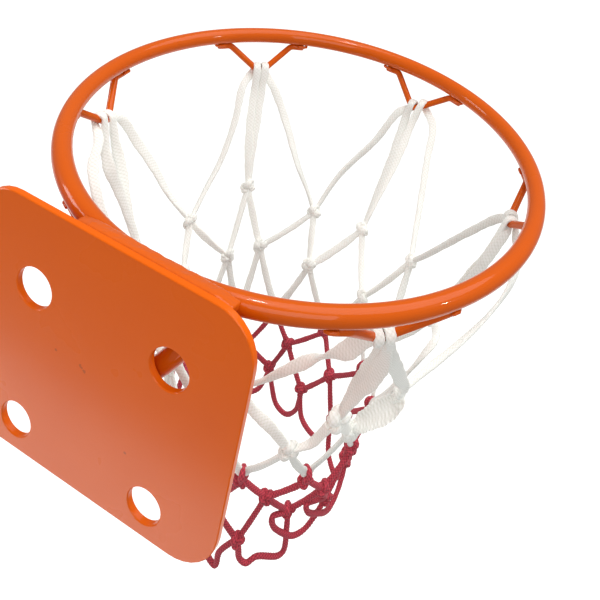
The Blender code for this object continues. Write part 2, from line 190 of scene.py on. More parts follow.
def enamel_material(name, colour, shade, coat, coat_roughness, marks=()):
    """Gloss enamel between two close colours. A mark is x, z and a radius in mm, on the plate's wall face."""
    material, tree, shader = new_material(name)
    place = add_node(tree, "ShaderNodeTexCoord").outputs["Object"]
    drift = {"Vector": place, "Scale": noise_scale(FILM_PATCH), "Detail": 3.0}
    slow = add_node(tree, "ShaderNodeTexNoise", drift).outputs["Fac"]
    ends = {FACTOR: slow, FIRST: linear(colour), SECOND: linear(shade)}
    base = add_node(tree, "ShaderNodeMix", ends, data_type="RGBA").outputs[RESULT]
    gloss = add_node(tree, "ShaderNodeMapRange", {"Value": slow, "To Min": 0.2, "To Max": 0.38}).outputs["Result"]
    ripple = {"Vector": place, "Scale": noise_scale(PEEL), "Detail": 2.0}
    peel = add_node(tree, "ShaderNodeTexNoise", ripple).outputs["Fac"]
    bump = {"Height": peel, "Strength": 0.35, "Distance": 0.12 * MM}
    surface = add_node(tree, "ShaderNodeBump", bump).outputs["Normal"]
    if marks:
        ragged = {"Vector": place, "Scale": noise_scale(FRAY), "Detail": 1.0}
        frayed = add_node(tree, "ShaderNodeTexNoise", ragged).outputs["Color"]
        spread = {"Value": frayed, "To Min": -FRAY_REACH * MM, "To Max": FRAY_REACH * MM}
        wander = add_node(tree, "ShaderNodeMapRange", spread).outputs["Result"]
    for x, z, radius in marks:
        ends = {0: place, 1: (x * MM, 0.0, z * MM)}
        reach = add_node(tree, "ShaderNodeVectorMath", ends, operation="DISTANCE").outputs["Value"]
        edge = add_node(tree, "ShaderNodeMath", {0: reach, 1: wander}, operation="ADD").outputs["Value"]
        fade = {"From Min": MARK_CORE * radius * MM, "From Max": radius * MM, "To Min": MARK_STRENGTH, "To Max": 0.0}
        near = add_node(tree, "ShaderNodeMapRange", {"Value": edge, **fade}).outputs["Result"]
        ends = {FACTOR: near, FIRST: base, SECOND: linear("#A8470C")}
        base = add_node(tree, "ShaderNodeMix", ends, data_type="RGBA").outputs[RESULT]
    fill(tree, shader, {"Base Color": base, "Roughness": gloss, "Normal": surface, "IOR": 1.5})
    fill(tree, shader, {"Specular IOR Level": 0.05, "Coat Weight": coat, "Coat Roughness": coat_roughness})
    return material


# On the rods the coat is sharp, and draws the long glints that make them look round.
ENAMEL = enamel_material("orange_enamel", "#D45C0B", "#CC5407", 0.42, 0.05)
# On the plate it is thinner and softer, so the flat face turns paler low down without a mirror image. Its knocks show
# as small brown specks.
KNOCKS = ((-8, -0.7, 1.1), (-6.5, -1.3, 0.8), (-5, -2.4, 1.2), (-24.8, -0.3, 0.9), (28.4, -34.3, 1.0))
# Its colours are set lighter than the rods', though the steel carries one paint: painted light that makes up for the
# sun's shade on the plate's face.
PLATE_ENAMEL = enamel_material("plate_enamel", "#EA6609", "#E25E07", 0.3, 0.13, KNOCKS)
# Over a weld the film pools between the ripples, which look wet and a little darker.
WELD_ENAMEL = enamel_material("enamel_over_weld", "#E06412", "#D2560B", 0.5, 0.08)
print("three enamels, and", len(KNOCKS), "spots of wear on the plate")

# %% [markdown]
# ## Braided cord
# The net is braided from polyester yarn, the upper half clean white and the lower half dark red. A braid is matt: its
# ridges catch the light, the gaps between them stay darker, and stray fibres soften its outline. The ridges are real
# shape, made below with the cord, which also stores their height on the mesh. The material reads that height and
# paints the gaps darker as well, a painted shade on top of the shade that the relief itself casts.

# %% Braided cord
FIBRES_ROUND, FIBRES_PER_MM = 90.0, 2.2  # fibres round a cord, and the breaks in one along it


def cord_material(name, ridge, gap_shade, sheen):
    """Braided polyester with this colour on its ridges, and a painted shade colour in the gaps between them."""
    material, tree, shader = new_material(name)
    along = add_node(tree, "ShaderNodeUVMap").outputs["UV"]
    relief = add_node(tree, "ShaderNodeAttribute", attribute_name="relief").outputs["Fac"]
    strand = add_node(tree, "ShaderNodeAttribute", attribute_name="strand").outputs["Fac"]
    stretched = {"Vector": along, "Scale": (FIBRES_ROUND, FIBRES_PER_MM, 1.0)}
    fibre_place = add_node(tree, "ShaderNodeMapping", stretched).outputs["Vector"]
    streaks = {"Vector": fibre_place, "Scale": 1.0, "Detail": 2.0}
    fibre = add_node(tree, "ShaderNodeTexNoise", streaks).outputs["Fac"]
    rise = {"Value": relief, "From Min": 0.1, "From Max": 0.75}
    depth = add_node(tree, "ShaderNodeMapRange", rise).outputs["Result"]
    # The relief's height mixes the yarn's own colour on the ridges with the painted shade in the gaps.
    ends = {FACTOR: depth, FIRST: linear(gap_shade), SECOND: linear(ridge)}
    ground = add_node(tree, "ShaderNodeMix", ends, data_type="RGBA").outputs[RESULT]
    tone = add_node(tree, "ShaderNodeMapRange", {"Value": strand, "To Min": 0.9, "To Max": 1.06}).outputs["Result"]
    spots = {"Value": fibre, "From Min": 0.25, "From Max": 0.75, "To Min": 0.92, "To Max": 1.05}
    speck = add_node(tree, "ShaderNodeMapRange", spots).outputs["Result"]
    level = add_node(tree, "ShaderNodeMath", {0: tone, 1: speck}, operation="MULTIPLY").outputs["Value"]
    colour = add_node(tree, "ShaderNodeHueSaturation", {"Color": ground, "Value": level}).outputs["Color"]
    bump = {"Height": fibre, "Strength": 0.5, "Distance": 0.12 * MM}
    surface = add_node(tree, "ShaderNodeBump", bump).outputs["Normal"]
    fill(tree, shader, {"Base Color": colour, "Roughness": 0.82, "Normal": surface, "IOR": 1.45})
    fill(tree, shader, {"Sheen Weight": sheen, "Sheen Roughness": 0.5})
    return material


# The white braid's painted shade in its gaps is soft, because light passes through white yarn.
WHITE = cord_material("white_braided_cord", "#FDFEF9", "#E8E9DF", 0.2)
# Dyed yarn swallows that light, so the red braid's painted shade in its gaps is deep and the weave shows more.
RED = cord_material("red_braided_cord", "#C8404F", "#6A1626", 0.1)
print("two braids")

# %% [markdown]
# ## Steel
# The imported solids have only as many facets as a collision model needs, and gloss would show each of them. So every
# steel piece starts as a copy of its solid, with the loose triangles joined into one skin and paired into quads, which
# subdivide cleanly. Building the steel again from primitives would look the same and could miss its place.


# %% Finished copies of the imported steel
def only(piece):
    """Makes the piece the one selected and active object, as an operator expects."""
    bpy.ops.object.select_all(action="DESELECT")
    piece.select_set(True)
    bpy.context.view_layer.objects.active = piece


def apply_modifier(piece, kind, **settings):
    """Adds one modifier with these settings and applies it."""
    modifier = piece.modifiers.new(kind.title(), kind)
    for name, value in settings.items():
        setattr(modifier, name, value)
    only(piece)
    bpy.ops.object.modifier_apply(modifier=modifier.name)


def copy_of(node, name):
    """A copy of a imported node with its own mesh, its loose triangles joined and most of them paired into quads."""
    piece = frame["nodes"][node].copy()
    piece.data = piece.data.copy()
    piece.name = name
    bpy.context.scene.collection.objects.link(piece)
    only(piece)
    bpy.ops.mesh.customdata_custom_splitnormals_clear()
    bpy.ops.object.mode_set(mode="EDIT")
    bpy.ops.mesh.select_all(action="SELECT")
    bpy.ops.mesh.remove_doubles(threshold=1e-6)
    bpy.ops.mesh.tris_convert_to_quads(face_threshold=math.radians(50), shape_threshold=math.radians(60))
    bpy.ops.mesh.normals_make_consistent(inside=False)
    bpy.ops.object.mode_set(mode="OBJECT")
    return piece


def finish_steel(piece, node, material, sharp=None):
    """Shades the piece smooth, but for edges over the sharp angle in degrees, and puts it in its solid's place."""
    piece.data.materials.clear()
    piece.data.materials.append(material)
    only(piece)
    if sharp is None:
        bpy.ops.object.shade_smooth()
    else:
        bpy.ops.object.shade_smooth_by_angle(angle=math.radians(sharp))
    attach(piece, "root")
    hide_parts(node)
    print(piece.name, len(piece.data.polygons), "faces")
    return piece


# %% [markdown]
# ## The ring
# The ring is one rod bent to a circle. Subdivision rounds its facets off and also draws it in a little, so each point
# is then moved straight out from the rod's centre line to the rod's true radius.

# %% The ring
ring = copy_of("ring_rod", "ring")
apply_modifier(ring, "SUBSURF", levels=2)
co = np.empty(len(ring.data.vertices) * 3)
ring.data.vertices.foreach_get("co", co)
co = co.reshape(-1, 3) / MM
middle = RING_CENTRE + unit((co - RING_CENTRE) * (1, 1, 0)) * RING_RADIUS
rounded = (middle + unit(co - middle) * ROD_RADIUS) * MM
ring.data.vertices.foreach_set("co", rounded.astype(np.float32).ravel())
ring.data.update()
finish_steel(ring, "ring_rod", ENAMEL)

# %% [markdown]
# ## The brace and the hooks
# The brace is the same rod bent to a V, and each hook is a bent wire. Their bends have no simple centre line to measure
# from, so after the subdivision the whole skin is fattened by what it lost: 2.5% on the rod's 16 sides and 6% on the
# wire's 10.

# %% The brace and the hooks
ROD_DRAWN_IN, WIRE_DRAWN_IN = 0.15, 0.16


def refined_rod(node, name, drawn_in):
    """A rounded copy of a bent rod, fattened by what the subdivision drew it in."""
    piece = copy_of(node, name)
    apply_modifier(piece, "SUBSURF", levels=2)
    only(piece)
    bpy.ops.object.mode_set(mode="EDIT")
    bpy.ops.mesh.select_all(action="SELECT")
    bpy.ops.transform.shrink_fatten(value=drawn_in * MM)
    bpy.ops.object.mode_set(mode="OBJECT")
    return finish_steel(piece, node, ENAMEL)


refined_rod("brace_rod", "brace", ROD_DRAWN_IN)
for number in range(1, 7):
    refined_rod(f"net_hook_{number}", f"hook_{number}", WIRE_DRAWN_IN)

# %% [markdown]
# ## The plate
# The plate was cut from sheet, and its edges were broken before it was coated. A narrow bevel catches the thin bright
# line along them. Smooth shading alone would bend the light over the whole flat face, because a face takes part in the
# normals at its rim. Weighted normals give the large faces the say, and only the bevels bend.

# %% The plate
EDGE_BREAK = 0.35
plate = copy_of("back_plate", "plate")
apply_modifier(plate, "BEVEL", width=EDGE_BREAK * MM, segments=2, limit_method="ANGLE", angle_limit=math.radians(30))
finish_steel(plate, "back_plate", PLATE_ENAMEL, 40)
apply_modifier(plate, "WEIGHTED_NORMAL", keep_sharp=True, mode="FACE_AREA", weight=80)


# %% [markdown]
# ## The welds
# A weld is metal that froze in ripples. Sculpting each would take long and come out uneven. Here a bead is remeshed
# finely, smoothed, and its skin moved in and out by a cloud texture, which is rough enough for a bead under enamel.

# %% The welds
def weld(node, voxel, height, size):
    """A rippled copy of a weld: the mesh's fineness, and the ripples' height and size, in mm."""
    piece = copy_of(node, node.replace("_weld", "_bead"))
    apply_modifier(piece, "REMESH", mode="VOXEL", voxel_size=voxel * MM)
    apply_modifier(piece, "SMOOTH", factor=0.6, iterations=6)
    clouds = bpy.data.textures.new(node, "CLOUDS")
    clouds.noise_scale = size * MM
    apply_modifier(piece, "DISPLACE", texture=clouds, texture_coords="LOCAL", strength=height * MM, mid_level=0.5)
    return finish_steel(piece, node, WELD_ENAMEL)


weld("ring_plate_weld", 0.8, 0.9, 5.0)
for node in ("brace_foot_weld_upper", "brace_foot_weld_lower", "brace_end_weld_left", "brace_end_weld_right"):
    weld(node, 0.6, 0.7, 3.0)
for number in range(1, 7):
    for end in "ab":
        weld(f"hook_weld_{number}_{end}", 0.4, 0.5, 2.0)

# %% [markdown]
# ## The net's knots
# Six hooks carry two loops each of flat white braid. The loops are knotted together in two rows, a third row is where
# red loops hang in the white ones, and two rows of red knots follow. So there are five rows of twelve places. A cloth
# simulation would settle somewhere else each time it is changed. Here each place was read from the photograph where it
# shows, and follows its neighbours where it doesn't.

# %% Where the knots are
# Each is an angle, a distance and a depth, as ring_point takes them. An even index of the first row lies under a hook.
KNOTS = {
    1: (
        (347, 95, 112), (16.3, 96, 111.5), (51, 110.8, 118), (75.4, 112.9, 119),
        (106.2, 108.9, 108.4), (136.2, 100, 107.7), (167.9, 91.6, 114.7), (195.4, 92, 118.8),
        (228.9, 102, 108.3), (259.2, 95.5, 120), (289.7, 99.7, 120.4), (317, 97, 114),
    ),
    2: (
        (3, 82, 152), (41.2, 90.9, 159.9), (66.7, 94.2, 155.4), (94.3, 98.4, 147.9),
        (117.1, 83.9, 151.9), (148.2, 76.6, 150.9), (188.6, 70.4, 151.2), (220.9, 79.4, 147.5),
        (240.7, 75.9, 149.7), (270.5, 79.9, 147.6), (303, 77, 150), (333, 77, 151),
    ),
    3: (
        (350, 68, 192), (25.3, 72.7, 196.4), (56.4, 80.3, 193.8), (82.1, 83, 189.5),
        (106.2, 82.6, 188.2), (130.3, 77.5, 190.2), (167, 69, 190), (204, 66, 189),
        (230, 67, 190), (256, 68, 190), (287, 67, 190), (317, 67, 191),
    ),
    4: (
        (12, 70, 230), (41.3, 68.1, 224.3), (70.8, 78.5, 222.8), (92.5, 75.5, 222.5),
        (121, 70, 222), (149.1, 64.4, 221.1), (189.2, 61.4, 219.4), (219.9, 61.2, 224.6),
        (243, 62, 222), (272, 62, 222), (302, 62, 223), (337, 64, 226),
    ),
    5: (
        (355, 64, 258), (30.5, 68.1, 260.2), (60.3, 63.5, 249), (84.2, 72.7, 250.8),
        (108.6, 75.2, 249.8), (137, 66, 252), (169.8, 60, 251.3), (199.1, 64.5, 248.9),
        (228, 62, 251), (257, 61, 253), (287, 61, 255), (320, 62, 257),
    ),
}  # fmt: skip
COUNT = 12
AT = {(row, i): ring_point(*spot) for row, spots in KNOTS.items() for i, spot in enumerate(spots)}

# The points that a strand passes on its way, where it isn't straight. A key is "hook", the hook's number and the first
# row's knot, with a side where two strands go to one knot, or else the rows and indices of both knots.
ROUTES = {
    ("hook", 2, 1): (
        (49.8, 135.4, 33), (47.5, 128, 44.5), (45, 121.3, 56), (42, 113.6, 66),
        (38, 106.4, 76), (31.5, 101.4, 88.5), (25, 98, 100.6),
    ),
    ("hook", 2, 2, -1): ((50.5, 137, 40), (52, 131, 56), (52, 125, 72), (51.5, 119, 88)),
    ("hook", 2, 2, 1): ((51.1, 140.8, 38), (52.5, 136, 53), (52.6, 130, 70), (52, 123, 86)),
    ("hook", 2, 3): ((53.3, 138, 44), (58, 131, 63), (63.6, 125.5, 82), (69.9, 121, 101)),
    ("hook", 3, 3): (
        (106, 152, 37), (103, 154, 49), (100.6, 152, 60), (96.3, 144, 75), (89.5, 131, 93), (82.4, 120, 107.5),
    ),
    ("hook", 3, 4, 1): ((108, 143, 30), (106, 138, 40), (104, 131, 57), (104, 120, 83)),
    ("hook", 3, 5): ((115.5, 140.6, 34), (119.7, 125, 55), (124.3, 113, 75), (129.7, 104, 93)),
    ("hook", 4, 5): ((163, 143, 32), (158, 130, 52), (149, 114, 81), (142, 105, 98)),
    ("hook", 4, 6, -1): ((170, 139, 35), (169, 124, 61), (168.5, 106, 90)),
    ("hook", 4, 6, 1): ((173, 139, 35), (171, 124, 61), (169.5, 106, 90)),
    ("hook", 4, 7): ((176, 140, 34), (180, 126, 59), (189, 108, 90)),
    ("hook", 5, 7): ((221, 137, 40), (215, 123, 64), (208, 108, 90), (201, 99, 107)),
    ("hook", 5, 8, -1): ((225.5, 137, 40), (226.5, 126, 62), (228, 113, 86)),
    ("hook", 5, 8, 1): ((228, 137, 40), (229, 126, 62), (229.5, 113, 86)),
    ("hook", 5, 9): ((232, 139, 37), (235, 126, 61), (241, 113, 87), (249, 104, 104)),
    ("hook", 6, 9): ((280, 142, 32), (276, 131, 52), (272, 120, 72), (267, 108, 97)),
    ("hook", 6, 10, -1): ((285, 137, 41), (286, 129, 58), (290, 115, 88)),
    ("hook", 6, 10, 1): ((290, 139, 38), (292, 131, 54), (291, 124, 69)),
    ("hook", 6, 11): ((293, 141, 31), (300, 138, 40), (306, 131, 52)),
    (1, 1, 2, 1): ((24, 94, 127), (31, 93, 138), (37, 92, 150)),
    (1, 2, 2, 1): ((50, 104, 132), (48, 95, 152)),
    (1, 3, 2, 2): ((74.1, 113.7, 123), (72.4, 111.4, 129), (70.4, 106.5, 136), (68.5, 100.5, 145)),
    (1, 4, 2, 3): ((92, 116, 100), (89, 112, 110), (90, 106, 127)),
}  # fmt: skip
print(len(AT), "places for knots,", len(ROUTES), "strands with a route")

# %% [markdown]
# ## One cord
# A cord could be a Blender curve with a bevel, which keeps one section all the way. A flat braid opens, twists, folds
# and pinches into its knots, so here a cord is a row of sections along a smooth curve, each with its own width,
# thickness and roll. The braid's relief is two sets of yarns, one winding each way, that pass over and under each
# other. It lifts the skin and is also stored for the material, which paints shade into the braid's gaps from it.

# %% A smooth curve, and the braid's relief
PER_SPAN = 24  # fine points between two given ones, before they are spaced evenly


def through(rows, step):
    """A Catmull-Rom curve through the rows' first three columns, a step apart, with the other columns carried along."""
    ends = np.vstack([2 * rows[0] - rows[1], rows, 2 * rows[-1] - rows[-2]])
    gaps = np.maximum(np.linalg.norm(np.diff(ends[:, :3], axis=0), axis=1), 1e-6) ** 0.5
    knots = np.concatenate([[0], np.cumsum(gaps)])
    out = []
    for i in range(1, len(ends) - 2):
        p0, p1, p2, p3 = ends[i - 1 : i + 3]
        t0, t1, t2, t3 = knots[i - 1 : i + 3]
        t = np.linspace(t1, t2, PER_SPAN, endpoint=False)[:, None]
        a1 = (t1 - t) / (t1 - t0) * p0 + (t - t0) / (t1 - t0) * p1
        a2 = (t2 - t) / (t2 - t1) * p1 + (t - t1) / (t2 - t1) * p2
        a3 = (t3 - t) / (t3 - t2) * p2 + (t - t2) / (t3 - t2) * p3
        b1 = (t2 - t) / (t2 - t0) * a1 + (t - t0) / (t2 - t0) * a2
        b2 = (t3 - t) / (t3 - t1) * a2 + (t - t1) / (t3 - t1) * a3
        out.append((t2 - t) / (t2 - t1) * b1 + (t - t1) / (t2 - t1) * b2)
    fine = np.vstack(out + [rows[-1:]])
    length = np.concatenate([[0], np.cumsum(np.linalg.norm(np.diff(fine[:, :3], axis=0), axis=1))])
    even = np.linspace(0, length[-1], max(4, int(round(length[-1] / step)) + 1))
    return np.column_stack([np.interp(even, length, fine[:, k]) for k in range(fine.shape[1])]), even


def braid(around, along, cell, yarns):
    """Height of the braid's surface from 0 to 1, round the cord in turns and along it in mm."""
    one = yarns * around + along / cell
    other = yarns * around - along / cell
    over = np.where((np.floor(one) + np.floor(other)) % 2 < 1, 1.0, -1.0)
    across, back = np.sin(math.pi * (one % 1)), np.sin(math.pi * (other % 1))
    return np.maximum(across * (0.5 + 0.5 * over * back), back * (0.5 - 0.5 * over * across))


# Sides of the section, yarns each way, mm between sections, mm that a yarn takes to pass the next, mm of relief, and
# the power that squares the section's corners when it is under 1.
WHITE_BRAID = (32, 7, 0.55, 2.6, 0.25, 0.8)
RED_BRAID = (26, 5, 0.5, 2.2, 0.42, 1.0)
print("relief", WHITE_BRAID[4], "mm on the white braid and", RED_BRAID[4], "mm on the red")

# %% A net of swept cords
PATTERN_SHIFT = 40  # mm: no two cords start at the same place in the braid
# Two slow waves keep a hand-pulled strand from one width all along: share of the width, radians per mm, and phase.
SWELLS = ((0.05, 0.31, 1), (0.03, 0.83, 2))
CUP_FROM, CUP_FULL = 7, 12  # mm: the widths where a hollow strand begins to cup, and where it is cupped in full
CUP_LEVEL = 0.4  # sinks the cup's middle, so that the cupped section stays about its curve
PUCKER, PUCKER_TURN = 0.35, 2.1  # mm of ripple over a cupped strand's edges, and its turn in radians per mm
LEAST_TIP, LEAST_HALF = 0.02, 0.1  # limits that keep a tip from shrinking to nothing
TIP_RELIEF = 0.3


class Net:
    """Collects cords into one mesh."""

    def __init__(self):
        self.points, self.quads, self.closes, self.quad_uv, self.close_uv = [], [], [], [], []
        self.relief, self.tone, self.total, self.length = [], [], 0, 0.0

    def cord(self, points, hints, widths, thick, rolls, braiding, cup=0.0):
        """One cord along points, in mm. A hint is the direction its flat side faces there, and a roll turns it further.
        A cup bends its flat section hollow by this many mm and puckers it."""
        sides, yarns, step, cell, depth, square = braiding
        columns = [np.broadcast_to(values, len(points)) for values in (widths, thick, rolls)]
        rows, along = through(np.column_stack([points, hints, *columns]), step)
        centre, hint, width, thickness, roll = rows[:, :3], rows[:, 3:6], rows[:, 6], rows[:, 7], np.radians(rows[:, 8])
        tangent = unit(np.gradient(centre, axis=0))
        flat = unit(hint - tangent * (hint * tangent).sum(1, keepdims=True))
        edge = np.cross(tangent, flat)
        c, s = np.cos(roll)[:, None], np.sin(roll)[:, None]
        flat, edge = flat * c + edge * s, edge * c - flat * s
        # The first and last sections draw in to a rounded tip.
        tip = np.minimum(along, along[-1] - along) / np.maximum(thickness / 2, LEAST_HALF)
        draw = np.sqrt(np.clip(1 - (1 - np.clip(tip, 0, 1)) ** 2, LEAST_TIP, 1))
        around = np.arange(sides) / sides
        angle = 2 * math.pi * around
        x = np.sign(np.cos(angle)) * np.abs(np.cos(angle)) ** square
        y = np.sign(np.sin(angle)) * np.abs(np.sin(angle)) ** square
        start = chance.uniform(0, PATTERN_SHIFT)
        height = braid(around[None, :], (along + start)[:, None], cell, yarns)
        bulge = 1 + sum(share * np.sin(along * rate + phase * start) for share, rate, phase in SWELLS)
        half_w = (width / 2 * bulge * draw)[:, None]
        half_t = (thickness / 2 / bulge * draw)[:, None]
        lift = (height - 0.5) * depth * draw[:, None]
        size = np.hypot(x, y)
        px = x * half_w + lift * x / size
        py = y * half_t + lift * y / size
        if cup:
            open_width = np.clip((width - CUP_FROM) / (CUP_FULL - CUP_FROM), 0, 1)[:, None]
            pucker = PUCKER * np.sin(along * PUCKER_TURN)[:, None] * np.abs(x)
            py = py + open_width * (cup * (x**2 - CUP_LEVEL) + pucker)
        skin = centre[:, None, :] + px[..., None] * edge[:, None, :] + py[..., None] * flat[:, None, :]
        self.points += [skin.reshape(-1, 3), centre[[0, -1]]]
        self.relief += [height.ravel(), np.full(2, TIP_RELIEF)]
        self.length += along[-1]
        self.skin_over(len(centre), sides, along + start)
        self.tone.append(np.full(len(centre) * sides + 2, chance.uniform(0, 1)))

    def skin_over(self, rings, sides, along):
        """Faces and their UV map, in turns round the cord and mm along it, for the sections just added."""
        first = self.total
        grid = first + np.arange(rings * sides).reshape(rings, sides)
        a, b = grid[:-1], grid[1:]
        self.quads.append(np.stack([a, np.roll(a, -1, 1), np.roll(b, -1, 1), b], -1).reshape(-1, 4))
        u0 = np.broadcast_to(np.arange(sides) / sides, (rings - 1, sides))
        v0, v1 = (np.broadcast_to(v[:, None], (rings - 1, sides)) for v in (along[:-1], along[1:]))
        corners = ((u0, v0), (u0 + 1 / sides, v0), (u0 + 1 / sides, v1), (u0, v1))
        self.quad_uv.append(np.stack([np.stack(p, -1) for p in corners], -2).reshape(-1, 2))
        # A point closes each end.
        low, high = first + rings * sides, first + rings * sides + 1
        close = [(grid[0, (j + 1) % sides], grid[0, j], low) for j in range(sides)]
        close += [(grid[-1, j], grid[-1, (j + 1) % sides], high) for j in range(sides)]
        self.closes.append(np.array(close))
        self.close_uv.append(np.tile([[0.0, along[0]]], (len(close) * 3, 1)))
        self.total += rings * sides + 2

    def piece(self, name, material, node):
        """The collected cords as one object."""
        quads, closes = np.vstack(self.quads), np.vstack(self.closes)
        points = np.vstack(self.points) * MM
        mesh = bpy.data.meshes.new(name)
        mesh.vertices.add(len(points))
        mesh.vertices.foreach_set("co", points.astype(np.float32).ravel())
        corners = np.concatenate([quads.ravel(), closes.ravel()])
        mesh.loops.add(len(corners))
        mesh.loops.foreach_set("vertex_index", corners.astype(np.int32))
        starts = np.concatenate([np.arange(len(quads)) * 4, len(quads) * 4 + np.arange(len(closes)) * 3])
        mesh.polygons.add(len(starts))
        mesh.polygons.foreach_set("loop_start", starts.astype(np.int32))
        mesh.update(calc_edges=True)
        uv = np.vstack(self.quad_uv + self.close_uv)
        mesh.uv_layers.new(name="UVMap").data.foreach_set("uv", uv.astype(np.float32).ravel())
        for title, values in (("relief", self.relief), ("strand", self.tone)):
            stored = mesh.attributes.new(title, "FLOAT", "POINT")
            stored.data.foreach_set("value", np.concatenate(values).astype(np.float32))
        mesh.validate()
        mesh.materials.append(material)
        piece = bpy.data.objects.new(name, mesh)
        bpy.context.scene.collection.objects.link(piece)
        only(piece)
        bpy.ops.object.shade_smooth()
        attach(piece, "root")
        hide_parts(node)
        print(name, "cord", round(self.length), "mm,", len(quads) * 2 + len(closes), "triangles")
        return piece


# One net of each colour for each hook's part of the whole, so that no piece grows too heavy.
white = {hook: Net() for hook in range(1, 7)}
red = {hook: Net() for hook in range(1, 7)}


def sector(i):
    """The hook whose part of the net holds index i."""
    return (i % COUNT) // 2 + 1


print(len(white) + len(red), "empty nets")

# %% [markdown]
# ## A knot
# A knot in the net is an overhand knot pulled tight. Its cord runs over and under itself three times round the two
# strands that it holds. Modelling a lump would miss that. A tight overhand knot is a trefoil, which has a short
# formula, so the knot here is a trefoil curve with flat cord on it, turned at random.

# %% Tying one
KNOT_POINTS = 31
KNOT_TALL = 1.15
KNOT_DEPTH = 0.62  # how far the cord passes over and under itself, as a share of its thickness
FACING_OUT, FACING_FRONT = 0.6, 0.8  # how much its flat side faces out from the knot's middle, and front or back


def tie(net, centre, radius, width, thick, braiding):
    """A tight overhand knot at the centre, its crossings facing away from the ring's axis."""
    down = -UP
    side = unit(np.cross(down, outwards(centre)))
    face = np.cross(side, down)
    spin = chance.uniform(0, 2 * math.pi / 3)
    turn = np.linspace(0, 2 * math.pi, KNOT_POINTS) + math.pi / 6
    across = np.sin(turn) + 2 * np.sin(2 * turn)
    up_down = np.cos(turn) - 2 * np.cos(2 * turn)
    over = -np.sin(3 * turn)
    c, s = math.cos(spin), math.sin(spin)
    across, up_down = across * c - up_down * s, across * s + up_down * c
    path = (
        centre
        + side * (across * radius / 3)[:, None]
        + down * (up_down * KNOT_TALL * radius / 3)[:, None]
        + face * (over * thick * KNOT_DEPTH)[:, None]
    )
    hints = unit(path - centre) * FACING_OUT + face * np.sign(over)[:, None] * FACING_FRONT
    net.cord(path, hints, width, thick, 0.0, braiding)


print("a knot has", KNOT_POINTS, "points")

# %% [markdown]
# ## The loops on the hooks
# Each hook is a wire bent to a corner under the ring, and two loops of the white braid hang over that corner. A loop is
# one cord: up from the knot beside it, over the wire, and down to the knot under it. On the wire it lies flat, so its
# flat side is turned to the wire there and starts from the camera's direction elsewhere. A braid keeps its area, so it
# is thin where it lies wide. The widths and twists are read from the photograph strand by strand, because they give the
# net its look.

# %% The hooks' corners, and helpers for strands
WIRE_RADIUS = 2.5
WRAP = WIRE_RADIUS + 1.4  # from the wire's centre to the middle of the flat cord lying on it
WIRE_UNDER = 8.8  # the wire's ends, under the ring's centre line
CORNER_HALF, CORNER_IN, CORNER_DOWN = 4.0, 0.1, 0.3  # the rounding of the wire's corner
# Each hook's ring angle, how far its sharp corner would stand inside the ring's centre line and under it, half the
# length that its arms span, and where along the ring its two loops hang.
HOOKS = {
    1: (-15.0, 18.0, 19.0, 26.0, (-4.2, 4.2)),
    2: (48.0, 13.0, 28.0, 26.0, (-3.6, 3.6)),
    3: (110.0, 13.0, 28.0, 26.0, (-3.6, 3.6)),
    4: (172.0, 13.0, 28.0, 26.0, (-7.5, 1.5)),
    5: (226.5, 13.0, 28.0, 26.0, (-3.6, 3.6)),
    6: (286.0, 13.0, 28.0, 26.0, (-2.0, 7.0)),
}


def wire_at(hook, sideways):
    """Centre of the hook's wire at this distance along the ring from its middle."""
    angle, inside, under, half, _ = HOOKS[hook]
    share = 1 - max(abs(sideways), CORNER_HALF) / half
    rounding = max(0, CORNER_HALF - abs(sideways))
    inwards = inside * share + CORNER_IN * rounding
    drop = WIRE_UNDER + (under - WIRE_UNDER) * share + CORNER_DOWN * rounding
    return ring_point(angle + math.degrees(sideways / RING_RADIUS), RING_RADIUS - inwards, drop)


def towards_view(point):
    """The direction from the point to the camera: the side that a flat strand shows with no roll."""
    return unit(np.array(CAMERA_PLACE) / MM - point)


def via(key):
    """The points of a strand's route, if it has one."""
    return [ring_point(*spot) for spot in ROUTES.get(key, ())]


def sagging(start, end, middle, sag):
    """Points from start to end: through the given middle points, or along a straight line that hangs a little."""
    if middle:
        return [start, *middle, end]
    return [start, *(start + (end - start) * f - UP * sag * 4 * f * (1 - f) for f in (0.25, 0.5, 0.75)), end]


def half_turn(centre, radius, from_side, over_side):
    """Seven points round a half circle, from one side of the centre over another to the far side."""
    return [centre + radius * (math.cos(t) * from_side + math.sin(t) * over_side) for t in np.linspace(0, math.pi, 7)]


for hook in HOOKS:
    print("hook", hook, "corner at", wire_at(hook, 0).round(1))

# %% Hanging the loops
HOOK_SAG = 3
LOOP_AREA, LOOP_THIN, LOOP_THICK = 16, 2.0, 3.3  # the braid's section in mm², and the limits of its thickness in mm
WIDTH_ON_WIRE, WIDTH_BY_WIRE, WIDTH_AT_KNOT = 6.0, 6.2, 4.0
WIDTHS_AT = (0, 0.15, 0.45, 0.8, 1)  # the places between hook and knot where a strand's width is set
PLAIN_WIDEST = 5.5
RISING_TWISTS, FALLING_TWISTS = (60, 130), (-40, 40)  # degrees, between which a plain strand's twist is drawn
# The widest a strand opens between its hook and its knot, and how far it twists, where the photograph shows it.
HOOK_STYLES = {
    (2, 2): (11.5, 15), (2, 3): (9.4, 20),
    (3, 5): (5.2, 60), (3, 4): (7.6, -30), (3, 3): (6.2, 200),
    (4, 5): (5.2, 60), (4, 6): (8.0, 70), (4, 7): (5.4, 75),
    (5, 7): (6.4, 110), (5, 8): (6.6, 15), (5, 9): (5.0, -80),
    (6, 9): (7.4, 70), (6, 10): (8.4, -35), (6, 11): (7.4, 30),
}  # fmt: skip
# One strand's full course from its hook, at 0, to its knot, at 1: place, width and roll.
HOOK_COURSES = {
    (2, 1): (
        (0, 6.2, 0), (0.12, 9.5, 5), (0.3, 11.0, 0), (0.42, 5.5, 60), (0.52, 7.6, 150), (0.7, 7.0, 200), (1, 4.2, 300),
    ),
}  # fmt: skip


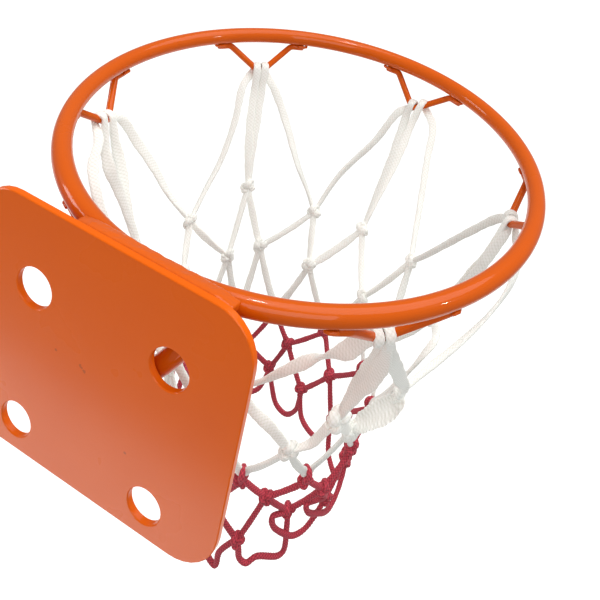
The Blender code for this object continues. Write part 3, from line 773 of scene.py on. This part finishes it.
def hanging(hang, key, twist):
    """Widths and rolls of a strand at places from its hook, at 0, to its knot, at 1."""
    if key in HOOK_COURSES:
        place, width, roll = zip(*HOOK_COURSES[key])
        return np.interp(hang, place, width), np.interp(hang, place, roll)
    widest, twist = HOOK_STYLES.get(key, (PLAIN_WIDEST, twist))
    opening = (WIDTH_BY_WIRE, (WIDTH_BY_WIRE + widest) / 2, widest, (widest + WIDTH_AT_KNOT) / 2, WIDTH_AT_KNOT)
    return np.interp(hang, WIDTHS_AT, opening), twist * hang


def hook_loop(net, hook, sign):
    """One loop over a hook's wire: from the knot beside it, over the wire, and down to the knot under it."""
    under = 2 * (hook - 1)
    beside = (under + sign) % COUNT
    apex = wire_at(hook, HOOKS[hook][4][sign > 0])
    out = outwards(apex)
    rising = sagging(AT[1, beside], apex, via(("hook", hook, beside))[::-1], HOOK_SAG)[:-1]
    falling = sagging(apex, AT[1, under], via(("hook", hook, under, sign)), HOOK_SAG)[1:]
    down = unit(AT[1, under] - apex)
    face = unit(out - down * (out @ down))
    arc = half_turn(apex, WRAP, face, -down)
    # Each strand's flat side agrees with the arc's where they meet, so the braid isn't turned over there.
    front, back = np.sign(towards_view(rising[-1]) @ face), -np.sign(towards_view(falling[0]) @ face)
    hints = [front * towards_view(p) for p in rising]
    hints += [unit(p - apex) for p in arc] + [back * towards_view(p) for p in falling]
    twist = chance.uniform(*RISING_TWISTS) * sign
    rising_widths, rising_rolls = hanging(np.linspace(1, 0, len(rising)), (hook, beside), twist)
    twist = chance.uniform(*FALLING_TWISTS)
    falling_widths, falling_rolls = hanging(np.linspace(0, 1, len(falling)), (hook, under), twist)
    widths = np.concatenate([rising_widths, np.full(len(arc), WIDTH_ON_WIRE), falling_widths])
    rolls = np.concatenate([rising_rolls, np.zeros(len(arc)), falling_rolls])
    thick = np.clip(LOOP_AREA / widths, LOOP_THIN, LOOP_THICK)
    net.cord(np.array(rising + arc + falling), hints, widths, thick, rolls, WHITE_BRAID)


for hook in HOOKS:
    for sign in (-1, 1):
        hook_loop(white[hook], hook, sign)
print("12 loops,", round(sum(net.length for net in white.values())), "mm of cord")

# %% [markdown]
# ## The white strands
# Between the first two rows the white strands cross in a diamond pattern, pinched at both knots and opened flat between
# them. The photograph shows a few of them wide open, and one cupped like a ribbon, so those have their own widths. The
# rest differ a little at random, because a net of equal strands looks machine-made.

# %% White strands and knots
STRAND_SAG = 2
PINCHED = 4.3
STRAND_AREA, STRAND_THIN = 15, 1.9
PLAIN_WIDTHS, PLAIN_TWISTS, ROLL_WOBBLE = (4.4, 6.2), (-90, 90), 20  # what the other strands draw from, mm and degrees
WHITE_KNOT = np.array((4.1, 5.2, 3.0))  # radius, and the cord's width and thickness, of a knot of size 1
# The widest and the twist of the strands that the photograph shows opened flat, by their knots in rows 1 and 2.
STYLES = {
    (1, 1): (6.6, 40), (2, 1): (6.6, 60), (2, 2): (7.0, 20), (3, 2): (15.0, 10), (3, 3): (6.5, 60), (4, 3): (6.0, 120),
}  # fmt: skip
CUPPED = {(3, 2): 3.2}
KNOT_SIZES = {(1, 1): 1.1, (1, 2): 1.4, (1, 3): 1.15, (2, 1): 1.1, (2, 2): 1.3}


def white_strand(net, points, widest, twist, cup=0.0):
    """A flat strand between two knots, opened to its widest halfway."""
    opening = np.sin(math.pi * np.linspace(0, 1, len(points))) ** 0.6
    widths = PINCHED + (widest - PINCHED) * opening
    hints = np.array([towards_view(p) for p in points])
    rolls = np.linspace(0, twist, len(points)) + (chance.uniform(-ROLL_WOBBLE, ROLL_WOBBLE) if not cup else 0)
    thick = np.clip(STRAND_AREA / widths, STRAND_THIN, LOOP_THICK)
    net.cord(np.array(points), hints, widths, thick, rolls, WHITE_BRAID, cup)


for i in range(COUNT):
    net = white[sector(i)]
    for j in (i, (i + 1) % COUNT):
        points = sagging(AT[1, j], AT[2, i], via((1, j, 2, i)), STRAND_SAG)
        by_chance = (chance.uniform(*PLAIN_WIDTHS), chance.uniform(*PLAIN_TWISTS))
        white_strand(net, points, *STYLES.get((j, i), by_chance), CUPPED.get((j, i), 0.0))
    for row in (1, 2):
        tie(net, AT[row, i], *(WHITE_KNOT * KNOT_SIZES.get((row, i), 1.0)), WHITE_BRAID)
print("24 strands and 24 knots")

# %% The lowest white strands
# Each goes down from one knot, round the red loop, and up to the next knot.
BIGHT = 2.8  # radius of the turn round the red loop
LOW_AREA, LOW_THIN, LOW_THICK = 14, 2.2, 3.2
LOW_WIDTHS = (4.4, 5.4, 4.0, 5.4, 4.4)  # at the first knot, on the way, in the turn, on the way and at the next knot
for i in range(COUNT):
    join, left, right = AT[3, i], AT[2, (i - 1) % COUNT], AT[2, i]
    side = unit(np.cross(UP, outwards(join)))
    if (right - left) @ side < 0:
        side = -side
    bend = half_turn(join, BIGHT, -side, -UP)
    points = sagging(left, bend[0], (), STRAND_SAG)[:-1] + bend + sagging(bend[-1], right, (), STRAND_SAG)[1:]
    widths = np.interp(np.arange(len(points)), (0, 3, 7, 11, len(points) - 1), LOW_WIDTHS)
    thick = np.clip(LOW_AREA / widths, LOW_THIN, LOW_THICK)
    white[sector(i)].cord(
        np.array(points), np.array([outwards(p) for p in points]), widths, thick, 0.0, WHITE_BRAID
    )
print("white cord", round(sum(net.length for net in white.values())), "mm")

# %% [markdown]
# ## The red half
# Each red loop passes through a white one and is knotted close under it, and two rows of knots follow. The red braid is
# nearly round, so it needs no widths. A knot holds its two strands close together, so the strands simply end inside it.

# %% Red loops and knots
RED_WIDTH, RED_THICK, RED_SAG = 3.9, 3.7, 1
RED_KNOT = (3.5, 4.0, 3.6)  # radius, and the cord's width and thickness
BOW = 3.4  # radius of the red loop where it passes over the white one
KNOT_UNDER = 5.2  # from the white loop's lowest point to the red knot under it
APART = 1.5  # half of what the loop's two legs are apart at that knot


def red_cord(net, points, facing=None):
    """A red cord along the points, its flatter side out from the ring's axis or towards the given side."""
    hints = np.array([outwards(p) for p in points]) if facing is None else np.tile(facing, (len(points), 1))
    net.cord(np.array(points), hints, RED_WIDTH, RED_THICK, 0.0, RED_BRAID)


for i in range(COUNT):
    net = red[sector(i)]
    join = AT[3, i]
    out = outwards(join)
    low = join - UP * (BIGHT + KNOT_UNDER)
    bow = half_turn(join - UP * BIGHT, BOW, out, UP)
    points = sagging(AT[4, (i - 1) % COUNT], low + out * APART, (), RED_SAG) + bow
    red_cord(net, points + sagging(low - out * APART, AT[4, i], (), RED_SAG), unit(np.cross(UP, out)))
    for knot in (low, AT[4, i], AT[5, i]):
        tie(net, knot, *RED_KNOT, RED_BRAID)
    for j in ((i - 1) % COUNT, i):
        red_cord(net, sagging(AT[4, j], AT[5, i], (), RED_SAG))
print("36 strands and 36 knots")

# %% [markdown]
# ## The open loops at the bottom
# The last row of knots is joined by open loops, which hang as they please. The ones in view follow the photograph point
# by point. The others are soft U shapes of slightly different depths.

# %% The open loops at the bottom
LOOPS = {
    0: ((21, 65, 288), (22, 66, 275), (27, 67, 265)),
    1: ((32, 69, 266), (34, 69, 275), (38, 70, 278), (43, 69, 275), (57, 69, 281), (60, 69, 279), (60, 67, 261)),
    2: ((55, 65, 247), (49, 66, 246), (50, 67, 253), (57, 68, 262), (65, 69, 269), (72, 70, 269), (77, 72, 260)),
    3: ((73, 73, 241), (66, 73, 238), (67, 74, 244), (77, 74, 256), (90, 74, 268), (98, 75, 263)),
    6: ((170, 61, 260), (171, 61, 273), (179, 62, 284), (188, 63, 281), (195, 64, 265)),
}
# A plain loop's points: the share of the way across, and the share of its drop.
PLAIN_LOOP = ((0.06, 0.45), (0.2, 0.9), (0.5, 1), (0.8, 0.85), (0.95, 0.4))
PLAIN_DROPS = (22, 28)
for i in range(COUNT):
    start, end = AT[5, i], AT[5, (i + 1) % COUNT]
    if i in LOOPS:
        between = [ring_point(*spot) for spot in LOOPS[i]]
    else:
        drop = chance.uniform(*PLAIN_DROPS)
        between = [start + (end - start) * f - UP * drop * g for f, g in PLAIN_LOOP]
    red_cord(red[sector(i)], [start, *between, end])
print("red cord", round(sum(net.length for net in red.values())), "mm")

# %% [markdown]
# ## The finished net
# The cords that were collected become twelve pieces, six of each colour, which take the place of the two packed nets.

# %% The finished net
for hook in HOOKS:
    white[hook].piece(f"white_net_{hook}", WHITE, "net_upper_white")
    red[hook].piece(f"red_net_{hook}", RED, "net_lower_red")

# %% [markdown]
# ## The studio
# The photograph has a white ground and soft light from all sides, with hardly a shadow. A pale floor far below gives
# the ground. It is only as large as the picture needs, because light from under the hoop would wash out the dark
# undersides of the rods. A card low in front glows as a soft lamp, and the plate mirrors it, which makes the plate
# paler towards its foot. A wide sun gives the soft main light, and small lamps draw the thin glints along the ring.

# %% The floor and the glowing card
FLOOR_DROP = 1.2


def stage_plane(name, low, high, glow):
    """A pale level plane between two corners, x and y in metres, that glows with the given strength: a little for the
    floor, which keeps it white, and as a soft lamp for the card.
    """
    material, tree, shader = new_material(name)
    fill(tree, shader, {"Base Color": linear("#F4F4F2"), "Roughness": 0.9})
    fill(tree, shader, {"Emission Color": linear("#FFFFFF"), "Emission Strength": glow})
    bpy.ops.mesh.primitive_plane_add(size=1)
    plane = bpy.context.object
    plane.name = name
    bpy.ops.transform.resize(value=(high[0] - low[0], high[1] - low[1], 1), center_override=(0, 0, 0))
    bpy.ops.transform.translate(value=((low[0] + high[0]) / 2, (low[1] + high[1]) / 2, -FLOOR_DROP))
    bpy.ops.object.transform_apply(location=True, rotation=True, scale=True)
    plane.data.materials.append(material)
    print(name, [round(v, 2) for v in plane.dimensions], "m")


stage_plane("floor", (-3.6, 0.35), (1.2, 6.5), 0.25)
stage_plane("glowing_front_card", (-1.3, -0.88), (0.1, -0.3), 2.0)

# %% Lights and colour
AIM = Vector((0, 0.15, 0))


def light_from(name, kind, place, power, **settings):
    """A light at the place, aimed at the net. A sun's power is per square metre, and a lamp's is in watts."""
    light = bpy.data.lights.new(name, kind)
    light.energy = power
    for setting, value in settings.items():
        setattr(light, setting, value)
    holder = bpy.data.objects.new(name, light)
    holder.location = place
    holder.rotation_euler = (AIM - Vector(place)).to_track_quat("-Z", "Y").to_euler()
    bpy.context.scene.collection.objects.link(holder)


light_from("sky", "SUN", (0.4, 0.5, 1.6), 1.85, angle=math.radians(60))
light_from("lamp", "AREA", (-0.05, 0.0, 1.9), 6, size=0.14)
light_from("side_lamp", "AREA", (1.85, 0.3, 1.1), 4, size=0.1)
light_from("window", "AREA", (-2.2, -0.7, 0.5), 12, size=0.7)
light_from("fill", "AREA", (1.2, -1.9, 1.4), 22, size=1.6)
world = bpy.data.worlds.new("surroundings")
world.use_nodes = True
fill(world.node_tree, world.node_tree.nodes["Background"], {"Color": (1.0, 1.0, 1.0, 1.0), "Strength": 0.36})
bpy.context.scene.world = world
# The Standard view shows colours as they are, as a product photograph does.
bpy.context.scene.view_settings.view_transform = "Standard"
print(len(bpy.data.lights), "lights")
